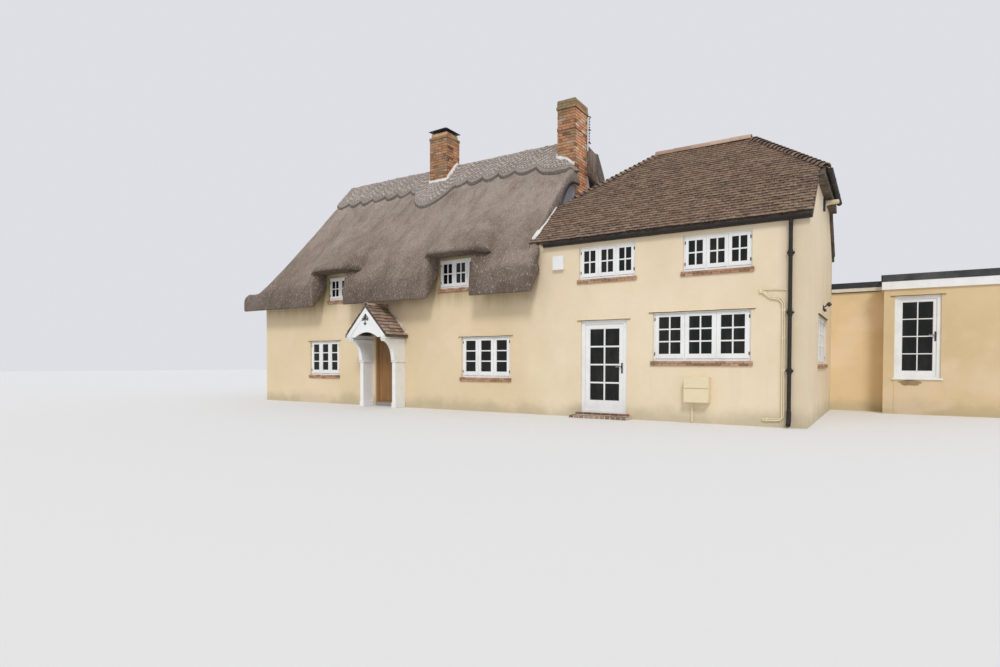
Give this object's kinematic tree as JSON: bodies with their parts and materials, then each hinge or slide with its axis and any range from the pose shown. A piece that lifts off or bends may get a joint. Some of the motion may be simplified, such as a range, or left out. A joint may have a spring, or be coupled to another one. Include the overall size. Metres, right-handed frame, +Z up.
{
  "type": "thatched cottage",
  "caption": "Two-storey rendered cottage with a thatched roof and brick stacks, a lower tiled wing, a flat-roofed garden room, a gabled porch hood and doors that open inwards.",
  "frame": {"origin": "at the ground, where the centre line of the wing's front wall crosses the centre line of its gable wall", "axes": "+X along the garden front to its right end, +Y from the garden front to the back, +Z up"},
  "size_m": [18.89, 8.995, 8.165],
  "materials": {
    "render": "painted roughcast, buff, matt",
    "thatch": "weathered grey-brown straw",
    "block_ridge": "weathered straw with sparred patterns",
    "clay_tile": "plain clay tiles, brown, lichened",
    "ridge_clay": "half-round clay ridge and hip tiles",
    "brick": "orange-red brick with pale joints",
    "white_paint": "white gloss paint on timber",
    "oak": "varnished timber, orange-brown",
    "glass": "clear, dark behind",
    "black_plastic": "black, satin",
    "black_iron": "black, sooty",
    "cream_paint": "cream paint",
    "boards": "floor boards",
    "slab": "floor screed",
    "roof_felt": "dark flat roof covering with a pale fascia"
  },
  "bodies": {
    "building": {"thatch_front_slope": "thatch", "thatch_rear_slope": "thatch", "thatch_ridge_cap": "block_ridge", "left_chimney": "brick", "right_chimney": "brick", "chimney_cowl": "black_iron", "tiled_roof": "clay_tile", "ridge_and_hip_tiles": "ridge_clay", "cottage_front_wall_left": "render", "cottage_front_wall_right": "render", "cottage_front_wall_over_door": "render", "cottage_back_wall": "render", "cottage_end_wall": "render", "party_wall": "render", "wing_front_wall_left": "render", "wing_front_wall_right": "render", "wing_front_wall_upper": "render", "wing_back_wall": "render", "wing_gable_wall": "render", "cottage_ground_floor": "slab", "wing_ground_floor": "slab", "cottage_upper_floor": "boards", "wing_upper_floor": "boards", "window_wing_upper_left": "white_paint", "window_wing_upper_right": "white_paint", "window_wing_lower": "white_paint", "window_cottage_lower_left": "white_paint", "window_cottage_lower_right": "white_paint", "window_cottage_upper_left": "white_paint", "window_cottage_upper_right": "white_paint", "window_back_lower_left": "white_paint", "window_back_lower_right": "white_paint", "window_back_upper_left": "white_paint", "window_back_upper_right": "white_paint", "window_back_wing": "white_paint", "window_gable": "white_paint", "wing_door_frame": "white_paint", "front_door_frame": "oak", "garden_room_door_frame": "white_paint", "wing_door_steps": "brick", "annexe_left_walls": "render", "annexe_back_walls": "render", "garden_room_right_walls": "render", "garden_room_wall_over_door": "render", "annexe_floor": "slab", "annexe_flat_roof": "roof_felt", "porch_frame": "white_paint", "porch_roof": "clay_tile", "front_gutter_and_downpipe": "black_plastic", "rear_gutter": "black_plastic", "half_hip_gutter": "black_plastic", "alarm_box": "white_paint", "meter_box": "cream_paint"},
    "wing_door": {"wing_door_leaf": "white_paint", "wing_door_glass": "glass"},
    "front_door": {"front_door_leaf": "oak"},
    "garden_room_door": {"garden_room_door_leaf": "white_paint", "garden_room_door_glass": "glass"}
  },
  "joints": [
    {"name": "wing_door_hinge", "type": "hinge", "parent": "building", "child": "wing_door", "pos_m": [-4.1535, -0.0314, 0.353], "axis": [0, 0, 1], "range_deg": [0, 90]},
    {"name": "front_door_hinge", "type": "hinge", "parent": "building", "child": "front_door", "pos_m": [-10.1875, -0.0314, 0.353], "axis": [0, 0, 1], "range_deg": [0, 90]},
    {"name": "garden_room_door_hinge", "type": "hinge", "parent": "building", "child": "garden_room_door", "pos_m": [1.5395, 4.7686, 1.079], "axis": [0, 0, 1], "range_deg": [0, 90]}
  ]
}
